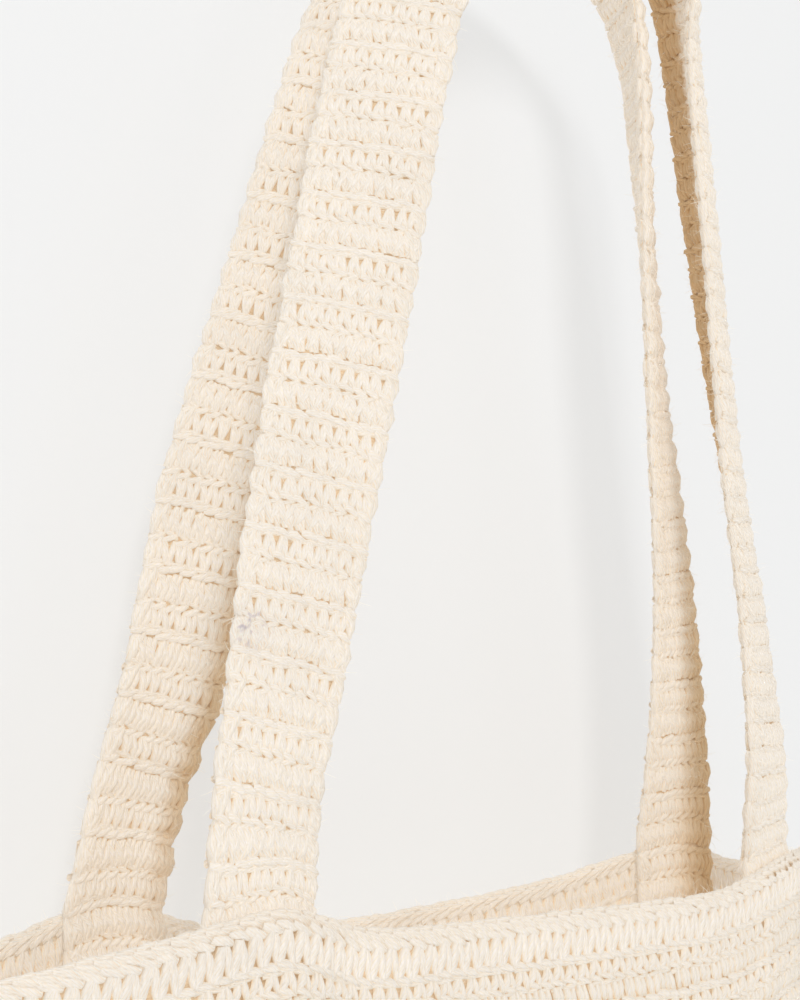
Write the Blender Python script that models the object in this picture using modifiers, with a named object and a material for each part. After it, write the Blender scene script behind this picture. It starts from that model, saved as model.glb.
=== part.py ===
"""Crochet tote hanging by two long wide straps: a soft hollow body, a rim edging and the straps sewn inside it.

Metres, +Z up. The origin is the hang point, under the top of the strap arches. +X is the bag's right and -Y its front.
"""

import math

import bpy
import numpy as np

# Body
BODY_WIDTH = 0.450
BODY_HEIGHT = 0.360
MOUTH_DEPTH = 0.106
BODY_WALL = 0.0045
BODY_SHIFT = -0.0185
MOUTH_FRONT = -0.031
RIM_SAG = 0.024
BASE_DEPTH_KEPT = 0.45
BASE_WIDTH_KEPT = 0.89

# Rim edging
EDGING_RADIUS = 0.0030
EDGING_GAP = 0.0006

# Straps
STRAP_WIDTH = 0.043
STRAP_THICKNESS = 0.0045
STRAP_DROP = 0.402
FRONT_SPACING = 0.246
BACK_SPACING = 0.250
STRAP_OVERLAP = 0.040
ARCH_STAGGER = 0.0245
STRAP_RISE = 0.012
SEAM_GAP = 0.0008
CROWN_TWIST = 90.0
CROWN_CURL = 6.0
CROWN_WIDTH = 1.0

# Facets
MOUTH_STEPS = 3
WALL_STEPS = 2
STRAP_STEPS = 3
STRAP_COLUMNS = 5
EDGING_RESOLUTION = 1
SEAM_STEPS = 24

# Shares of half the body width at which the straps are sewn
FRONT_SEWN = FRONT_SPACING / BODY_WIDTH
BACK_SEWN = BACK_SPACING / BODY_WIDTH

# Width of a strap as a share of half the body width
STRAP_SHARE = 2 * STRAP_WIDTH / BODY_WIDTH

# Height of the wall's top edge where the rim doesn't sag, under the edging
WALL_TOP = -STRAP_DROP - 2 * EDGING_RADIUS - EDGING_GAP

# Rows round the mouth, seen from above, from the left end along the front and back again.
# reach: share of half the body width. depth: share of the mouth depth behind the front.
# fall: share of the rim sag below the level of the front left strap. side: -1 front, 1 back.
MOUTH_COLUMNS = ("reach", "depth", "fall", "side")
MOUTH = {
    "left_end": (-1.000, 0.48, 0.92, -1),
    "front_left_corner": (-0.930, 0.17, 0.60, -1),
    "front_left": (-0.730, 0.02, 0.26, -1),
    "front_strap_left": (-FRONT_SEWN + 0.008, 0.00, -0.02, -1),
    "front_strap_left_edge": (-FRONT_SEWN + STRAP_SHARE / 2, 0.01, 0.13, -1),
    "front_left_of_middle": (-0.640 * FRONT_SEWN, 0.03, 0.39, -1),
    "front_middle": (-0.080, 0.03, 0.46, -1),
    "front_right_of_middle": (0.620 * FRONT_SEWN, -0.01, 0.42, -1),
    "front_strap_right": (FRONT_SEWN + 0.024, 0.06, 0.06, -1),
    "front_right": (0.765, 0.24, 0.06, -1),
    "right_corner": (0.950, 0.365, 0.30, -1),
    "right_end": (1.000, 0.485, 0.46, 1),
    "back_right_corner": (0.950, 0.605, 0.54, 1),
    "back_right": (0.740, 0.62, 0.40, 1),
    "back_strap_right": (BACK_SEWN, 0.65, 0.02, 1),
    "back_right_of_middle": (0.468 * BACK_SEWN, 0.76, 0.54, 1),
    "back_middle": (-0.050, 0.89, 0.86, 1),
    "back_left_of_middle": (-0.540 * BACK_SEWN, 0.98, 0.94, 1),
    "back_strap_left": (-BACK_SEWN, 0.98, 0.38, 1),
    "back_left": (-0.730, 0.90, 0.60, 1),
    "back_left_corner": (-0.910, 0.74, 0.82, 1),
}

# Rows down the walls. down: share of the body height. width and depth: shares of those of the mouth.
# open: 1 keeps the shape of the mouth, 0 is a plain flat oval. level: 1 keeps the rim's sag.
WALL_COLUMNS = ("down", "width", "depth", "open", "level")
WALLS = {
    "rim": (0.000, 1.000, 1.000, 1.00, 1.00),
    "sewn": (0.060, 1.000, 1.000, 1.00, 0.96),
    "strap_ends": (0.125, 0.998, 0.985, 1.00, 0.88),
    "upper": (0.260, 0.985, 0.930, 0.80, 0.66),
    "belly": (0.440, 0.970, 0.840, 0.52, 0.42),
    "waist": (0.620, 0.962, 0.720, 0.28, 0.22),
    "lower": (0.800, 0.958, 0.580, 0.10, 0.08),
    "heel": (0.920, 0.940, 0.440, 0.00, 0.00),
    "turn": (0.980, 0.905, 0.330, 0.00, 0.00),
    "base": (1.000, 0.855, 0.200, 0.00, 0.00),
}

# Soft folds down the walls: reach, side, width, swell, top and bottom. reach and width: shares of half the body
# width. swell: share of the mouth depth, outwards. top and bottom: shares of the body height.
FOLDS = {
    "under_front_strap_left": (-FRONT_SEWN, -1, 0.13, 0.055, 0.10, 0.86),
    "under_front_strap_right": (FRONT_SEWN, -1, 0.13, 0.060, 0.12, 0.80),
    "front_hollow": (-0.050, -1, 0.22, -0.080, 0.14, 0.78),
    "front_left_hollow": (-0.790, -1, 0.10, -0.055, 0.16, 0.72),
    "front_right_hollow": (0.800, -1, 0.09, -0.050, 0.16, 0.70),
    "under_back_strap_left": (-BACK_SEWN, 1, 0.14, 0.040, 0.12, 0.82),
    "under_back_strap_right": (BACK_SEWN, 1, 0.14, 0.045, 0.12, 0.82),
    "back_hollow": (-0.120, 1, 0.24, -0.060, 0.14, 0.80),
}

# Rows up each strap leg. rise: share of the strap drop above the rim. reach: share of half the strap's spacing
# outwards from the hang line. back: share of the mouth depth behind the hang line. twist: degrees that the
# front face has turned outwards. curl: degrees that each edge curls in. width: share of the strap width.
LEG_COLUMNS = ("rise", "reach", "back", "twist", "curl", "width")
FRONT_LEFT = {
    "low": (0.085, 1.118, -0.226, -2, 6, 0.96),
    "lower": (0.160, 1.066, -0.215, 4, 9, 0.97),
    "below_middle": (0.240, 1.016, -0.200, 12, 11, 0.99),
    "middle": (0.325, 0.958, -0.184, 20, 12, 1.01),
    "above_middle": (0.410, 0.896, -0.168, 27, 13, 1.03),
    "upper": (0.500, 0.828, -0.150, 33, 14, 1.04),
    "high": (0.590, 0.762, -0.131, 38, 14, 1.05),
    "higher": (0.685, 0.690, -0.113, 42, 14, 1.06),
    "shoulder": (0.775, 0.612, -0.104, 46, 14, 1.06),
    "spring": (0.862, 0.510, -0.126, 58, 12, 1.03),
    "bend": (0.936, 0.395, -0.172, 75, 9, 1.00),
    "crown_side": (0.984, 0.232, -0.218, 87, 6, 1.00),
}
FRONT_RIGHT = {
    "low": (0.085, 0.836, -0.221, 22, 8, 0.98),
    "lower": (0.165, 0.832, -0.213, 27, 16, 1.00),
    "below_middle": (0.250, 0.820, -0.198, 32, 24, 1.00),
    "middle": (0.345, 0.780, -0.180, 37, 31, 1.00),
    "above_middle": (0.440, 0.753, -0.162, 42, 37, 1.00),
    "upper": (0.540, 0.732, -0.144, 47, 42, 1.00),
    "high": (0.640, 0.714, -0.125, 51, 46, 1.00),
    "higher": (0.740, 0.693, -0.108, 54, 48, 1.00),
    "shoulder": (0.830, 0.660, -0.102, 57, 46, 1.00),
    "spring": (0.900, 0.592, -0.128, 66, 34, 1.00),
    "bend": (0.952, 0.440, -0.174, 77, 18, 1.00),
    "crown_side": (0.989, 0.250, -0.218, 87, 8, 1.00),
}
BACK_LEFT = {
    "low": (0.085, 1.070, 0.590, -10, 5, 0.97),
    "lower": (0.160, 1.004, 0.550, -1, 8, 0.99),
    "below_middle": (0.240, 0.963, 0.503, 8, 10, 1.00),
    "middle": (0.325, 0.928, 0.448, 17, 12, 1.00),
    "above_middle": (0.410, 0.872, 0.388, 25, 13, 1.00),
    "upper": (0.500, 0.812, 0.322, 32, 14, 1.00),
    "high": (0.590, 0.752, 0.256, 38, 14, 1.00),
    "higher": (0.685, 0.690, 0.196, 44, 14, 1.00),
    "shoulder": (0.775, 0.618, 0.146, 50, 14, 1.00),
    "spring": (0.862, 0.512, 0.142, 60, 12, 1.00),
    "bend": (0.936, 0.395, 0.174, 75, 9, 1.00),
    "crown_side": (0.984, 0.228, 0.220, 87, 6, 1.00),
}
BACK_RIGHT = {
    "low": (0.085, 0.862, 0.278, 4, 4, 0.96),
    "lower": (0.165, 0.856, 0.262, 14, 6, 0.98),
    "below_middle": (0.250, 0.836, 0.243, 21, 8, 1.00),
    "middle": (0.345, 0.796, 0.221, 27, 10, 1.00),
    "above_middle": (0.440, 0.744, 0.198, 33, 11, 1.00),
    "upper": (0.540, 0.694, 0.172, 38, 12, 1.00),
    "high": (0.640, 0.646, 0.147, 43, 12, 1.00),
    "higher": (0.740, 0.604, 0.120, 49, 12, 1.00),
    "shoulder": (0.830, 0.568, 0.108, 54, 12, 1.00),
    "spring": (0.908, 0.516, 0.134, 62, 11, 1.00),
    "bend": (0.957, 0.410, 0.176, 76, 9, 1.00),
    "crown_side": (0.989, 0.240, 0.220, 87, 6, 1.00),
}

# Colour and roughness of each piece's yarn
YARN_COLOURS = {
    "bag_body": (0.87, 0.80, 0.69, 1.0),
    "rim_edging": (0.89, 0.83, 0.73, 1.0),
    "front_strap": (0.88, 0.82, 0.71, 1.0),
    "back_strap": (0.85, 0.77, 0.65, 1.0),
}
YARN_ROUGHNESS = 0.92

UP = np.array((0.0, 0.0, 1.0))
TO_BACK = np.array((0.0, 1.0, 0.0))


def column(table, columns, name):
    return np.array([row[columns.index(name)] for row in table.values()], float)


def smooth_loop(points, steps):
    """A closed Catmull-Rom curve through the points, with this many steps from each to the next."""
    points = np.asarray(points, float)
    before, after = np.roll(points, 1, axis=0), np.roll(points, -1, axis=0)
    beyond = np.roll(points, -2, axis=0)
    made = []
    for t in np.arange(steps) / steps:
        made.append(spline_step(before, points, after, beyond, t))
    return np.stack(made, axis=1).reshape(-1, *points.shape[1:])


def smooth_run(points, steps):
    """An open Catmull-Rom curve through the points, with this many steps from each to the next."""
    points = np.asarray(points, float)
    first = 2 * points[:1] - points[1:2]
    last = 2 * points[-1:] - points[-2:-1]
    padded = np.concatenate([first, points, last])
    made = []
    for t in np.arange(steps) / steps:
        made.append(spline_step(padded[:-3], padded[1:-2], padded[2:-1], padded[3:], t))
    run = np.stack(made, axis=1).reshape(-1, *points.shape[1:])
    return np.concatenate([run, points[-1:]])


def spline_step(before, start, end, beyond, t):
    return 0.5 * (
        2 * start
        + (end - before) * t
        + (2 * before - 5 * start + 4 * end - beyond) * t**2
        + (3 * start - before - 3 * end + beyond) * t**3
    )


def wall_section(down, width, depth, openness, level):
    """The outer wall's rows at one height, as points in the order of the mouth's rows."""
    reach = column(MOUTH, MOUTH_COLUMNS, "reach")
    mouth_depth = column(MOUTH, MOUTH_COLUMNS, "depth")
    fall = column(MOUTH, MOUTH_COLUMNS, "fall")
    side = column(MOUTH, MOUTH_COLUMNS, "side")
    oval = 0.5 + 0.5 * side * (1 - np.abs(reach) ** 3) ** (1 / 3)
    shape = openness * mouth_depth + (1 - openness) * oval
    shape = 0.5 + (shape - 0.5) * depth
    shape = shape + fold_swell(reach, side, down)
    x = BODY_SHIFT + reach * width * BODY_WIDTH / 2
    y = MOUTH_FRONT + shape * MOUTH_DEPTH
    z = WALL_TOP - fall * level * RIM_SAG - down * BODY_HEIGHT
    return np.stack([x, y, z], axis=1)


def fold_swell(reach, side, down):
    """How far the folds push each row of a section out, as a share of the mouth depth."""
    swell = np.zeros(len(reach))
    for fold in FOLDS.values():
        at, fold_side, width, height, top, bottom = fold
        if not top < down < bottom:
            continue
        along = math.sin(math.pi * (down - top) / (bottom - top)) ** 2
        across = np.exp(-(((reach - at) / width) ** 2))
        swell += np.where(side == fold_side, fold_side * height * along * across, 0.0)
    return swell


def wall_values(down):
    """Width, depth, openness and level at a share of the body height."""
    at = column(WALLS, WALL_COLUMNS, "down")
    return [np.interp(down, at, column(WALLS, WALL_COLUMNS, name)) for name in WALL_COLUMNS[1:]]


def outward(ring):
    """Level normals of a closed ring of wall points, pointing out of the bag."""
    along = np.roll(ring, -1, axis=0) - np.roll(ring, 1, axis=0)
    normals = np.stack([along[:, 1], -along[:, 0], np.zeros(len(ring))], axis=1)
    return normals / np.linalg.norm(normals, axis=1, keepdims=True)


def sewn_station(down, row_name, offsets):
    """Points across a strap that lies inside the wall at this height, centred on a row of the mouth."""
    ring = smooth_loop(wall_section(down, *wall_values(down)), SEAM_STEPS)
    inside = ring - outward(ring) * (BODY_WALL + SEAM_GAP + STRAP_THICKNESS / 2)
    start = list(MOUTH).index(row_name) * SEAM_STEPS
    inside = np.roll(inside, len(inside) // 2 - start, axis=0)
    along = np.cumsum(np.linalg.norm(np.diff(inside, axis=0, prepend=inside[:1]), axis=1))
    along -= along[len(inside) // 2]
    return np.stack([np.interp(offsets, along, inside[:, k]) for k in range(3)], axis=1)


def curled_section(centre, tangent, face, offsets, curl):
    """Points across a free strap whose edges curl away from the side that it faces."""
    across = np.cross(tangent, face)
    half = abs(offsets[0])
    radius = half / math.radians(max(curl, 1.0))
    angle = offsets / radius
    side, sink = radius * np.sin(angle), radius * (1 - np.cos(angle))
    return centre + side[:, None] * across - sink[:, None] * face


def leg_centres(leg, side, spacing):
    """The middle line of a free leg. side: -1 left, 1 right."""
    x = side * column(leg, LEG_COLUMNS, "reach") * spacing / 2
    y = column(leg, LEG_COLUMNS, "back") * MOUTH_DEPTH
    z = STRAP_THICKNESS / 2 + STRAP_DROP * (column(leg, LEG_COLUMNS, "rise") - 1)
    return np.stack([x, y, z], axis=1)


def strap_faces(tangents, twists):
    """The direction that the front face of each row looks in. twists: degrees turned outwards."""
    sideways = np.cross(tangents, TO_BACK)
    sideways /= np.linalg.norm(sideways, axis=1, keepdims=True)
    forward = np.cross(tangents, sideways)
    turned = np.radians(twists)[:, None]
    return np.cos(turned) * forward + np.sin(turned) * sideways


def strap_surface(left, right, spacing, side):
    """The middle surface of a strap, from its sewn left end over the hang point to its sewn right end."""
    crown = np.array([[0.0, side * ARCH_STAGGER, STRAP_THICKNESS / 2]])
    centres = np.concatenate(
        [leg_centres(left, -1, spacing), crown, leg_centres(right, 1, spacing)[::-1]]
    )
    tangents = np.gradient(centres, axis=0)
    tangents /= np.linalg.norm(tangents, axis=1, keepdims=True)
    faces = strap_faces(tangents, joined(left, right, "twist", CROWN_TWIST))
    curls = joined(left, right, "curl", CROWN_CURL)
    widths = joined(left, right, "width", CROWN_WIDTH)
    across = np.linspace(-0.5, 0.5, STRAP_COLUMNS) * STRAP_WIDTH
    free = [
        curled_section(*row) for row in zip(centres, tangents, faces, widths[:, None] * across, curls)
    ]
    sewn_downs = [down / BODY_HEIGHT for down in (STRAP_OVERLAP, STRAP_OVERLAP / 2, 0.0, -STRAP_RISE)]
    wall = "front" if side < 0 else "back"
    left_end = [sewn_station(down, wall + "_strap_left", -side * across * widths[0]) for down in sewn_downs]
    right_end = [
        sewn_station(down, wall + "_strap_right", side * across * widths[-1]) for down in sewn_downs[::-1]
    ]
    return smooth_run(left_end + free + right_end, STRAP_STEPS)


def joined(left, right, name, crown):
    """A column of both legs with the crown's value between them."""
    return np.concatenate(
        [column(left, LEG_COLUMNS, name), [crown], column(right, LEG_COLUMNS, name)[::-1]]
    )


def new_object(name, mesh, collection):
    item = bpy.data.objects.new(name, mesh)
    collection.objects.link(item)
    return item


def grid_mesh(name, rows, closed):
    """An empty mesh, and the points and quads over rows of points, open at the first and last row."""
    rows = np.asarray(rows)
    count, width = rows.shape[:2]
    faces = []
    for i in range(count - 1):
        for j in range(width if closed else width - 1):
            k = (j + 1) % width
            faces.append((i * width + j, i * width + k, (i + 1) * width + k, (i + 1) * width + j))
    mesh = bpy.data.meshes.new(name)
    return mesh, rows.reshape(-1, 3), faces


def finish_mesh(mesh, points, faces):
    mesh.from_pydata([tuple(p) for p in points], [], faces)
    mesh.validate()
    mesh.shade_smooth()


def yarn(name):
    material = bpy.data.materials.new(name + "_yarn")
    material.use_nodes = True
    shader = material.node_tree.nodes["Principled BSDF"]
    shader.inputs["Base Color"].default_value = YARN_COLOURS[name]
    shader.inputs["Roughness"].default_value = YARN_ROUGHNESS
    shader.inputs["Metallic"].default_value = 0.0
    return material


def thicken(item, thickness, offset):
    wall = item.modifiers.new("wall", "SOLIDIFY")
    wall.thickness = thickness
    wall.offset = offset
    wall.use_even_offset = True
    wall.use_quality_normals = True


def make_body(collection):
    """The walls as rings down from the rim, closed by a narrow base, with the wall thickness inwards."""
    control = [wall_section(*row) for row in WALLS.values()]
    downs = smooth_run(np.array(control).reshape(len(control), -1), WALL_STEPS)
    rings = [smooth_loop(flat.reshape(-1, 3), MOUTH_STEPS) for flat in downs]
    centre = rings[-1].mean(axis=0)
    rings.append(centre + (rings[-1] - centre) * np.array((BASE_WIDTH_KEPT, BASE_DEPTH_KEPT, 1.0)))
    mesh, points, faces = grid_mesh("bag_body", rings, closed=True)
    last = (len(rings) - 1) * len(rings[0])
    faces.append(tuple(range(last, last + len(rings[0]))))
    finish_mesh(mesh, points, [face[::-1] for face in faces])
    item = new_object("bag_body", mesh, collection)
    thicken(item, BODY_WALL, -1.0)
    return item


def make_edging(collection):
    """A round edging on top of the wall, flush with the wall's inner face."""
    rim = smooth_loop(wall_section(*WALLS["rim"]), MOUTH_STEPS)
    centre = rim - outward(rim) * (BODY_WALL - EDGING_RADIUS)
    centre = centre + UP * (EDGING_RADIUS + EDGING_GAP)
    curve = bpy.data.curves.new("rim_edging", "CURVE")
    curve.dimensions = "3D"
    curve.bevel_depth = EDGING_RADIUS
    curve.bevel_resolution = EDGING_RESOLUTION
    line = curve.splines.new("POLY")
    line.points.add(len(centre) - 1)
    for point, place in zip(line.points, centre):
        point.co = (*place, 1.0)
    line.use_cyclic_u = True
    line.use_smooth = True
    return new_object("rim_edging", curve, collection)


def make_strap(name, left, right, spacing, side, collection):
    surface = strap_surface(left, right, spacing, side)
    mesh, points, faces = grid_mesh(name, surface, closed=False)
    finish_mesh(mesh, points, faces)
    item = new_object(name, mesh, collection)
    thicken(item, STRAP_THICKNESS, 0.0)
    return item


def main():
    for item in list(bpy.data.objects):
        bpy.data.objects.remove(item)
    collection = bpy.data.collections.new("crochet_tote")
    bpy.context.scene.collection.children.link(collection)
    pieces = [
        make_body(collection),
        make_edging(collection),
        make_strap("front_strap", FRONT_LEFT, FRONT_RIGHT, FRONT_SPACING, -1, collection),
        make_strap("back_strap", BACK_LEFT, BACK_RIGHT, BACK_SPACING, 1, collection),
    ]
    for piece in pieces:
        piece.data.materials.append(yarn(piece.name))


main()
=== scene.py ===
"""The looks of the crochet tote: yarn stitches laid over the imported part, a wall and soft light."""

import math

import bpy
import numpy as np
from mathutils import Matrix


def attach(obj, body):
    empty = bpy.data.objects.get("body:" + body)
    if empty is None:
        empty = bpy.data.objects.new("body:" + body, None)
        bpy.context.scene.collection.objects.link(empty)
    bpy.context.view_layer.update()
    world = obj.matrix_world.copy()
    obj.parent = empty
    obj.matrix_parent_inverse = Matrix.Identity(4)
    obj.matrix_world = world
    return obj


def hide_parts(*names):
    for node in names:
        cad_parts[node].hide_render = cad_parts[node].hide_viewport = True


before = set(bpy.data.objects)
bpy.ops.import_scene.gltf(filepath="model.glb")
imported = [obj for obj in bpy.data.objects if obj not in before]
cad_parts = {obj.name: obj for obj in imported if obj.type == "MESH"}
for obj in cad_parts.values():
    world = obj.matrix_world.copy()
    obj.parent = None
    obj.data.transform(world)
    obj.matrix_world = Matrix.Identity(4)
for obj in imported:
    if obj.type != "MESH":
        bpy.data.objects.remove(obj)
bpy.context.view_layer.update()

# The part's own sizes, in metres
BODY_WIDTH = 0.450
BODY_HEIGHT = 0.360
MOUTH_DEPTH = 0.106
BODY_WALL = 0.0045
BODY_SHIFT = -0.0185
MOUTH_FRONT = -0.031
RIM_SAG = 0.024
EDGING_RADIUS = 0.0030
EDGING_GAP = 0.0006
STRAP_WIDTH = 0.043
STRAP_THICKNESS = 0.0045
STRAP_DROP = 0.402
FRONT_SPACING = 0.246
BACK_SPACING = 0.250
STRAP_OVERLAP = 0.040
ARCH_STAGGER = 0.0245
STRAP_RISE = 0.012
SEAM_GAP = 0.0008
CROWN_TWIST = 90.0
CROWN_CURL = 6.0
CROWN_WIDTH = 1.0

# How finely the fabrics' surfaces are laid out
SEAM_STEPS = 24
MOUTH_STEPS = 10
WALL_STEPS = 7
STRAP_STEPS = 9
STRAP_ACROSS = np.linspace(-0.60, 0.60, 17) * STRAP_WIDTH
EDGING_ROWS = np.array([0.004, 0.002, 0.0, -0.002, -0.004])
BASE_RINGS = ((0.55, 0.97, 0.0006), (0.03, 0.95, 0.0018))

# Crochet gauge: stitches across a strap, heights of a pair of rows, and the width of a body stitch
STRAP_STITCHES = 9
STRAP_PAIR = 0.0205
BACK_PAIR = 0.0237
BODY_STITCH = 0.0056
BODY_PAIR = 0.0168
FIRST_BAND = 0.0088
INNER_ROWS = 8
UPPER_ROWS = 5

# The ground under the stitches, the yarn's place over it and how uneven the work is
SKIN_HALF = 0.0009
STRAP_MARGIN = 0.0018
LOOP_INSET = 0.0019
RIM_REACH = 0.004
SEWN_SWELL = 0.0016
BODY_SWELL = 0.0007
ROW_SWELL = (0.0003, 0.0010)
CRUMPLE = 0.0022
CRUMPLE_LENGTH = 0.0125
SLOW_CRUMPLE = 4.1
SKIN_STEP = 3
SKIN_TEXTURE_STEP = 1.5
SKIN_TRIM = 0.0015
STRAND_SHIFT = (0.00040, 0.00055, 0.00028)
ROW_WANDER = (0.0018, 0.0022, 0.0014)
WANDER_REACH = 0.0065
SEED_STEP = 0.37
# Heights over the fabric at which a strand counts as sunk in a gap, in the full painted gap shade, and as on
# top
DEEP = 0.0007
SHALLOW = 0.0024
# How far up the depth scale, which sets how much painted gap shade they get, the ground inside the bag and
# the strands on an edge count
INNER_GROUND = 0.35
ROUND_STRAND = 0.8
# A strand's radius at its ends, and how much it gains in the middle, as shares
STRAND_ENDS = 0.80
STRAND_GAIN = 0.24
# Loose fibres: how many for each square metre of yarn, and their size
STRAP_FUZZ = 20000.0
EDGE_FUZZ = 90000.0
BODY_FUZZ = 9000.0
FIBRE_LENGTH = 0.0030
FIBRE_WIDTH = 0.00013
FIBRE_BEND = 0.0014
FIBRE_TAPER = 0.6
FIBRE_TILT = (1.1, 1.1, 3.1)
FIBRE_SIZES = (0.6, 1.5)
FIBRE_STEPS = 2

FRONT_SEWN = FRONT_SPACING / BODY_WIDTH
BACK_SEWN = BACK_SPACING / BODY_WIDTH
STRAP_SHARE = 2 * STRAP_WIDTH / BODY_WIDTH
WALL_TOP = -STRAP_DROP - 2 * EDGING_RADIUS - EDGING_GAP
UP = np.array((0.0, 0.0, 1.0))
TO_BACK = np.array((0.0, 1.0, 0.0))

# Rows round the mouth. reach: share of half the body width from the middle. depth: share of the mouth depth
# from the front. fall: share of the rim's sag. side: -1 in front, 1 at the back.
MOUTH = {
    "left_end": (-1.000, 0.48, 0.92, -1),
    "front_left_corner": (-0.930, 0.17, 0.60, -1),
    "front_left": (-0.730, 0.02, 0.26, -1),
    "front_strap_left": (-FRONT_SEWN + 0.008, 0.00, -0.02, -1),
    "front_strap_left_edge": (-FRONT_SEWN + STRAP_SHARE / 2, 0.01, 0.13, -1),
    "front_left_of_middle": (-0.640 * FRONT_SEWN, 0.03, 0.39, -1),
    "front_middle": (-0.080, 0.03, 0.46, -1),
    "front_right_of_middle": (0.620 * FRONT_SEWN, -0.01, 0.42, -1),
    "front_strap_right": (FRONT_SEWN + 0.024, 0.06, 0.06, -1),
    "front_right": (0.765, 0.24, 0.06, -1),
    "right_corner": (0.950, 0.365, 0.30, -1),
    "right_end": (1.000, 0.485, 0.46, 1),
    "back_right_corner": (0.950, 0.605, 0.54, 1),
    "back_right": (0.740, 0.62, 0.40, 1),
    "back_strap_right": (BACK_SEWN, 0.65, 0.02, 1),
    "back_right_of_middle": (0.468 * BACK_SEWN, 0.76, 0.54, 1),
    "back_middle": (-0.050, 0.89, 0.86, 1),
    "back_left_of_middle": (-0.540 * BACK_SEWN, 0.98, 0.94, 1),
    "back_strap_left": (-BACK_SEWN, 0.98, 0.38, 1),
    "back_left": (-0.730, 0.90, 0.60, 1),
    "back_left_corner": (-0.910, 0.74, 0.82, 1),
}

# Rows down the walls: down, width, depth, open and level. down: share of the body height. width and depth:
# shares of the mouth's. open: 1 keeps the mouth's shape, 0 is a flat oval. level: 1 keeps the rim's sag.
WALLS = {
    "rim": (0.000, 1.000, 1.000, 1.00, 1.00),
    "sewn": (0.060, 1.000, 1.000, 1.00, 0.96),
    "strap_ends": (0.125, 0.998, 0.985, 1.00, 0.88),
    "upper": (0.260, 0.985, 0.930, 0.80, 0.66),
    "belly": (0.440, 0.970, 0.840, 0.52, 0.42),
    "waist": (0.620, 0.962, 0.720, 0.28, 0.22),
    "lower": (0.800, 0.958, 0.580, 0.10, 0.08),
    "heel": (0.920, 0.940, 0.440, 0.00, 0.00),
    "turn": (0.980, 0.905, 0.330, 0.00, 0.00),
    "base": (1.000, 0.855, 0.200, 0.00, 0.00),
}

# Soft folds down the walls: reach, side, width, swell, top and bottom. reach and width: shares of half the
# body width. swell: share of the mouth depth, outwards. top and bottom: shares of the body height.
FOLDS = {
    "under_front_strap_left": (-FRONT_SEWN, -1, 0.13, 0.055, 0.10, 0.86),
    "under_front_strap_right": (FRONT_SEWN, -1, 0.13, 0.060, 0.12, 0.80),
    "front_hollow": (-0.050, -1, 0.22, -0.080, 0.14, 0.78),
    "front_left_hollow": (-0.790, -1, 0.10, -0.055, 0.16, 0.72),
    "front_right_hollow": (0.800, -1, 0.09, -0.050, 0.16, 0.70),
    "under_back_strap_left": (-BACK_SEWN, 1, 0.14, 0.040, 0.12, 0.82),
    "under_back_strap_right": (BACK_SEWN, 1, 0.14, 0.045, 0.12, 0.82),
    "back_hollow": (-0.120, 1, 0.24, -0.060, 0.14, 0.80),
}

# Rows up each strap leg, from above the rim to beside the crown. rise: share of the strap drop. reach: share
# of half the strap's spacing outwards from the hang line. back: share of the mouth depth behind it. twist:
# degrees turned outwards. curl: degrees that each edge curls in. width: share of the strap width.
LEG_COLUMNS = ("rise", "reach", "back", "twist", "curl", "width")
FRONT_LEFT = (
    (0.085, 1.118, -0.226, -2, 6, 0.96),
    (0.160, 1.066, -0.215, 4, 9, 0.97),
    (0.240, 1.016, -0.200, 12, 11, 0.99),
    (0.325, 0.958, -0.184, 20, 12, 1.01),
    (0.410, 0.896, -0.168, 27, 13, 1.03),
    (0.500, 0.828, -0.150, 33, 14, 1.04),
    (0.590, 0.762, -0.131, 38, 14, 1.05),
    (0.685, 0.690, -0.113, 42, 14, 1.06),
    (0.775, 0.612, -0.104, 46, 14, 1.06),
    (0.862, 0.510, -0.126, 58, 12, 1.03),
    (0.936, 0.395, -0.172, 75, 9, 1.00),
    (0.984, 0.232, -0.218, 87, 6, 1.00),
)
FRONT_RIGHT = (
    (0.085, 0.836, -0.221, 22, 8, 0.98),
    (0.165, 0.832, -0.213, 27, 16, 1.00),
    (0.250, 0.820, -0.198, 32, 24, 1.00),
    (0.345, 0.780, -0.180, 37, 31, 1.00),
    (0.440, 0.753, -0.162, 42, 37, 1.00),
    (0.540, 0.732, -0.144, 47, 42, 1.00),
    (0.640, 0.714, -0.125, 51, 46, 1.00),
    (0.740, 0.693, -0.108, 54, 48, 1.00),
    (0.830, 0.660, -0.102, 57, 46, 1.00),
    (0.900, 0.592, -0.128, 66, 34, 1.00),
    (0.952, 0.440, -0.174, 77, 18, 1.00),
    (0.989, 0.250, -0.218, 87, 8, 1.00),
)
BACK_LEFT = (
    (0.085, 1.070, 0.590, -10, 5, 0.97),
    (0.160, 1.004, 0.550, -1, 8, 0.99),
    (0.240, 0.963, 0.503, 8, 10, 1.00),
    (0.325, 0.928, 0.448, 17, 12, 1.00),
    (0.410, 0.872, 0.388, 25, 13, 1.00),
    (0.500, 0.812, 0.322, 32, 14, 1.00),
    (0.590, 0.752, 0.256, 38, 14, 1.00),
    (0.685, 0.690, 0.196, 44, 14, 1.00),
    (0.775, 0.618, 0.146, 50, 14, 1.00),
    (0.862, 0.512, 0.142, 60, 12, 1.00),
    (0.936, 0.395, 0.174, 75, 9, 1.00),
    (0.984, 0.228, 0.220, 87, 6, 1.00),
)
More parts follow.
